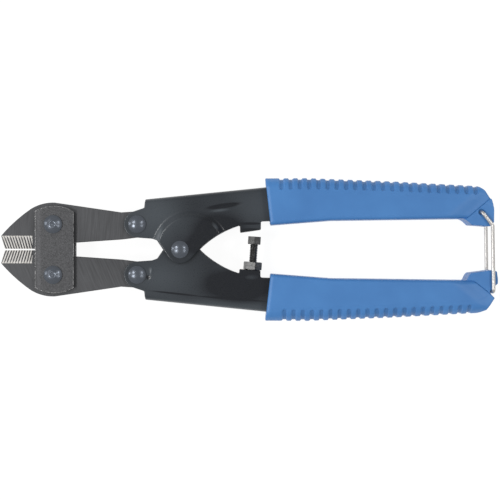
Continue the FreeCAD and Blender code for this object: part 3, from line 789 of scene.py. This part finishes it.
BOLT_JOINT = joint_named("nut_turn")
BOLT_FOOT = Vector(BOLT_JOINT["pos_m"])
BOLT_AXIS = Vector(BOLT_JOINT["axis"]).normalized()
BOLT_TURN = Vector((0, 0, 1)).rotation_difference(BOLT_AXIS).to_matrix().to_4x4()
BOLT_PLACE = Matrix.Translation(BOLT_FOOT) @ BOLT_TURN
THREAD_PITCH = 0.7 * MM
THREAD_DEPTH = 0.34 * MM
THREAD_RADIUS = 1.75 * MM
THREAD_POINT = 0.7 * MM
THREAD_TUCK = 0.3 * MM
THREAD_RINGS_PER_TURN = 8
HEX_LEVELS = 14
CONE_START = 0.9
CONE_SLOPE = 1.55
HEAD_RISE = 3.3 * MM
HEAD_CORNER = 3.05 * MM
NUT_CORNER = 4.05 * MM
HEAD_TURN = math.radians(24.5)
NUT_TURN = math.radians(40)


def on_bolt(bm):
    """Lays a mesh drawn about +Z along the bolt."""
    bmesh.ops.transform(bm, matrix=BOLT_PLACE, verts=bm.verts)
    bmesh.ops.recalc_face_normals(bm, faces=bm.faces)


def hex_radius(angle, corner, start):
    """How far out a hexagon's side lies in this direction."""
    sector = (angle - start) % (math.pi / 3) - math.pi / 6
    return corner * math.cos(math.pi / 6) / math.cos(sector)


def tube_mesh(rings):
    """Closes a stack of rings, each a list of points, into one skin with capped ends."""
    bm = bmesh.new()
    rows = [[bm.verts.new(point) for point in ring] for ring in rings]
    count = len(rows[0])
    for low, high in zip(rows, rows[1:]):
        for step in range(count):
            after = (step + 1) % count
            bm.faces.new((low[step], low[after], high[after], high[step]))
    bm.faces.new(list(reversed(rows[0])))
    bm.faces.new(rows[-1])
    return bm


def hex_rings(corner, foot, rise, start, steps=120):
    """Rings up a hexagon whose corners are turned to a cone at both ends."""
    rings = []
    for level in range(HEX_LEVELS + 1):
        share = level / HEX_LEVELS
        height = foot + rise * share
        from_end = min(1 - share, share) * rise
        cone = CONE_START * corner + CONE_SLOPE * from_end
        ring = []
        for step in range(steps):
            angle = 2 * math.pi * step / steps
            radius = min(hex_radius(angle, corner, start), cone)
            ring.append((radius * math.cos(angle), radius * math.sin(angle), height))
        rings.append(ring)
    return rings


def thread_rings(radius, foot, top, steps=48):
    """Rings along a screw thread, run out to a cone at its foot."""
    rings = []
    count = int((top - foot) / THREAD_PITCH * THREAD_RINGS_PER_TURN)
    for level in range(count + 1):
        height = foot + (top - foot) * level / count
        ring = []
        for step in range(steps):
            angle = 2 * math.pi * step / steps
            phase = (height / THREAD_PITCH - angle / (2 * math.pi)) % 1
            groove = 1 - abs(2 * phase - 1)
            reach = min(radius - THREAD_DEPTH * groove, radius - THREAD_POINT + (height - foot))
            ring.append((reach * math.cos(angle), reach * math.sin(angle), height))
        rings.append(ring)
    return rings


def span_on_bolt(node):
    """How far along the bolt a CAD node starts and ends."""
    local = BOLT_PLACE.inverted()
    heights = [(local @ vert.co).z for vert in frame["nodes"][node].data.vertices]
    return min(heights), max(heights)


def make_bolt_and_nut():
    """The threaded bolt with its head, and the lock nut. Each is a closed skin without a bore."""
    oxide = black_oxide()
    foot, crown = span_on_bolt("adjusting_bolt")
    head_foot = crown - HEAD_RISE
    shank = tube_mesh(thread_rings(THREAD_RADIUS, foot, head_foot + THREAD_TUCK))
    on_bolt(shank)
    thread = piece_from("stop_bolt_thread", shank, [oxide], 30)
    stand_for(thread, "adjusting_bolt", "stop_bolt")
    head = tube_mesh(hex_rings(HEAD_CORNER, head_foot, crown - head_foot, HEAD_TURN))
    on_bolt(head)
    cap = piece_from("stop_bolt_head", head, [oxide], 30)
    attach(cap, "stop_bolt")
    nut_foot, nut_top = span_on_bolt("lock_nut")
    nut = tube_mesh(hex_rings(NUT_CORNER, nut_foot, nut_top - nut_foot, NUT_TURN))
    on_bolt(nut)
    collar = piece_from("lock_nut_body", nut, [oxide], 30)
    stand_for(collar, "lock_nut", "nut")


# ---------------------------------------------------------------- grips

RIB_REACH = 5.0 * MM
RIB_WIDTH = 2.0 * MM
RIB_DEPTH = 0.62 * MM
RIB_PITCH = 3.86 * MM
RIB_TAPER = 1.3 * MM
RIBS = {1: (13.0 * MM, 22), -1: (14.2 * MM, 21)}  # x of the first groove, and how many
GRIP_VOXEL = 0.32 * MM
LUG_HALF = 6.8 * MM
SLEEVE_STEP = 1.55 * MM
SLEEVE_RUN = 7 * MM
LEDGE_REACH = 5.6 * MM
LEDGE_DEPTH = 0.1 * MM
MOUTH_BEVEL = 1.3 * MM
MOUTH_DEPTH = 0.35 * MM
PALM_HALF = 3.6 * MM
PALM_ROUND = 5.5 * MM
LUG_FROM = 80 * MM
MOUTH_LEVEL = 5 * MM
LEDGE_LEVEL = 6 * MM
RIB_LIMIT = 7 * MM
FLOOR_SHARE = 0.6

# Ends, in mm, of a grip's slanting mouth, and the corners of its outer edge
MOUTH = ((8.4, 10.2), (6.2, 29.9))
PALM_STOPS = [(6.2, 29.9), (24.0, 30.0), (60.0, 28.6), (94.8, 26.7), (110.0, 20.0)]

# Ends, in mm, of the crease between a sleeve and its lug
CREASES = {1: ((91.6, 14.0), (99.4, 20.6)), -1: ((93.4, -13.1), (100.6, -18.8))}


def palm_edge(side, x):
    """The y of a grip's outer edge at x, which runs in straight lines between the stops."""
    for (x0, y0), (x1, y1) in zip(PALM_STOPS, PALM_STOPS[1:]):
        if x <= x1 * MM:
            share = (x - x0 * MM) / ((x1 - x0) * MM)
            return side * (y0 + (y1 - y0) * share) * MM
    return side * PALM_STOPS[-1][1] * MM


def make_grips():
    """The moulded sleeves; the floors of their rib grooves are a darker blue, painted shade."""
    plastic = [grip_plastic("grip_plastic", 1.0), grip_plastic("groove_shade_plastic", 0.8)]
    for word, side in SIDES:
        node = f"{word}_grip"
        piece = piece_from(f"{node}_sleeve", cad_mesh(node), plastic, 30)
        voxel_skin(piece, GRIP_VOXEL)
        shape_grip(piece, side)
        stand_for(piece, node, f"{word}_handle")


def mouth_at(y):
    """The x of a grip's slanting mouth."""
    (x0, y0), (x1, y1) = MOUTH
    return (x0 + (x1 - x0) * (abs(y) / MM - y0) / (y1 - y0)) * MM


def rib_depth(x, inward, side):
    """How deep a rib groove is at this place along the grip and this far in from its palm edge."""
    first, count = RIBS[side]
    nearest = round((x - first) / RIB_PITCH)
    if not 0 <= nearest < count:
        return 0.0
    away = abs(x - first - nearest * RIB_PITCH)
    reach = RIB_REACH - RIB_TAPER * (x - first) / (count * RIB_PITCH)
    end = max(0.0, inward - (reach - RIB_WIDTH / 2))
    distance = math.hypot(away, end)
    return RIB_DEPTH * (1 - smooth_step(RIB_WIDTH / 2 - 0.3 * MM, RIB_WIDTH / 2 + 0.1 * MM, distance))


def shape_grip(piece, side):
    """Presses in the rib grooves, a ledge inside them, a bevelled mouth and an easy slope to the lug."""
    (x0, y0), (x1, y1) = CREASES[side]
    length = math.hypot(x1 - x0, y1 - y0)
    floor = set()
    for vert in piece.data.vertices:
        x, y, z = vert.co
        level = z - MID_Z
        inward = side * (palm_edge(side, x) - y)
        off_crease = side * ((x1 - x0) * (y - y0 * MM) - (y1 - y0) * (x - x0 * MM)) / length
        if abs(level) > LUG_HALF and x > LUG_FROM:
            slope = SLEEVE_STEP * (1 - smooth_step(0, SLEEVE_RUN, off_crease))
            vert.co.z -= math.copysign(slope * smooth_step(LUG_HALF, LUG_HALF + 1 * MM, abs(level)), level)
        mouth = x - mouth_at(y)
        if abs(level) > MOUTH_LEVEL and mouth < MOUTH_BEVEL:
            vert.co.z -= math.copysign(MOUTH_DEPTH * (1 - mouth / MOUTH_BEVEL), level)
        if abs(level) > LEDGE_LEVEL and inward < LEDGE_REACH:
            vert.co.z -= math.copysign(LEDGE_DEPTH * smooth_step(0, 0.3 * MM, LEDGE_REACH - inward), level)
        depth = rib_depth(x, inward, side) if inward < RIB_LIMIT else 0
        if depth > FLOOR_SHARE * RIB_DEPTH:
            floor.add(vert.index)
        if depth > 0:
            if abs(level) < PALM_HALF:
                pull = Vector((0, -side, 0))
            else:
                heart_y = palm_edge(side, x) - side * PALM_ROUND
                pull = Vector((0, heart_y - y, MID_Z + math.copysign(PALM_HALF, level) - z)).normalized()
            vert.co += pull * depth
    # Groove-floor faces take the darker blue: painted shade in the grooves.
    for face in piece.data.polygons:
        face.material_index = int(floor.issuperset(face.vertices))


# ---------------------------------------------------------------- bail

BAIL_BEND = Vector((101.0, 10.1, 0)) * MM
BAIL_BAR = Vector((101.4, -17.6, 0)) * MM
BAIL_LEG = 7.75 * MM
BAIL_STUB = 3.7 * MM
BAIL_RADIUS = 0.8 * MM
BAIL_CORNER = 1.3 * MM


def make_bail():
    """The plated wire, with easy bends."""
    pivot = Vector(joint_named("bail_swing")["pos_m"])
    half = []
    stops = ((pivot, BAIL_STUB), (pivot, BAIL_LEG), (BAIL_BEND, BAIL_LEG), (BAIL_BAR, BAIL_LEG))
    for place, height in stops:
        half.append(Vector((place.x, place.y, height)))
    route = half + [Vector((p.x, p.y, -p.z)) for p in reversed(half)]
    points = rounded(route, BAIL_CORNER)
    curve = bpy.data.curves.new("lock_bail_wire", "CURVE")
    curve.dimensions = "3D"
    curve.bevel_depth = BAIL_RADIUS
    curve.bevel_resolution = 6
    curve.use_fill_caps = True
    spline = curve.splines.new("POLY")
    spline.points.add(len(points) - 1)
    for item, point in zip(spline.points, points):
        item.co = (point.x, point.y, point.z + MID_Z, 1.0)
    curve.materials.append(chrome_wire())
    wire = bpy.data.objects.new("lock_bail_wire", curve)
    scene.collection.objects.link(wire)
    stand_for(wire, "lock_bail", "bail")


def rounded(route, radius, steps=8):
    """The route with each corner turned into an arc."""
    points = [route[0]]
    for before, corner, after in zip(route, route[1:], route[2:]):
        inward = (before - corner).normalized()
        outward = (after - corner).normalized()
        half_turn = inward.angle(outward) / 2
        reach = radius / math.tan(half_turn)
        heart = corner + (inward + outward).normalized() * radius / math.sin(half_turn)
        start = corner + inward * reach - heart
        axis = start.cross(corner + outward * reach - heart)
        turn = math.pi - 2 * half_turn
        for step in range(steps + 1):
            points.append(heart + Matrix.Rotation(turn * step / steps, 3, axis) @ start)
    points.append(route[-1])
    return points


# ---------------------------------------------------------------- build

make_camera()
make_studio()
make_floor()
make_jaws()
make_link_plates()
make_rivets()
make_handles()
make_bolt_and_nut()
make_grips()
make_bail()
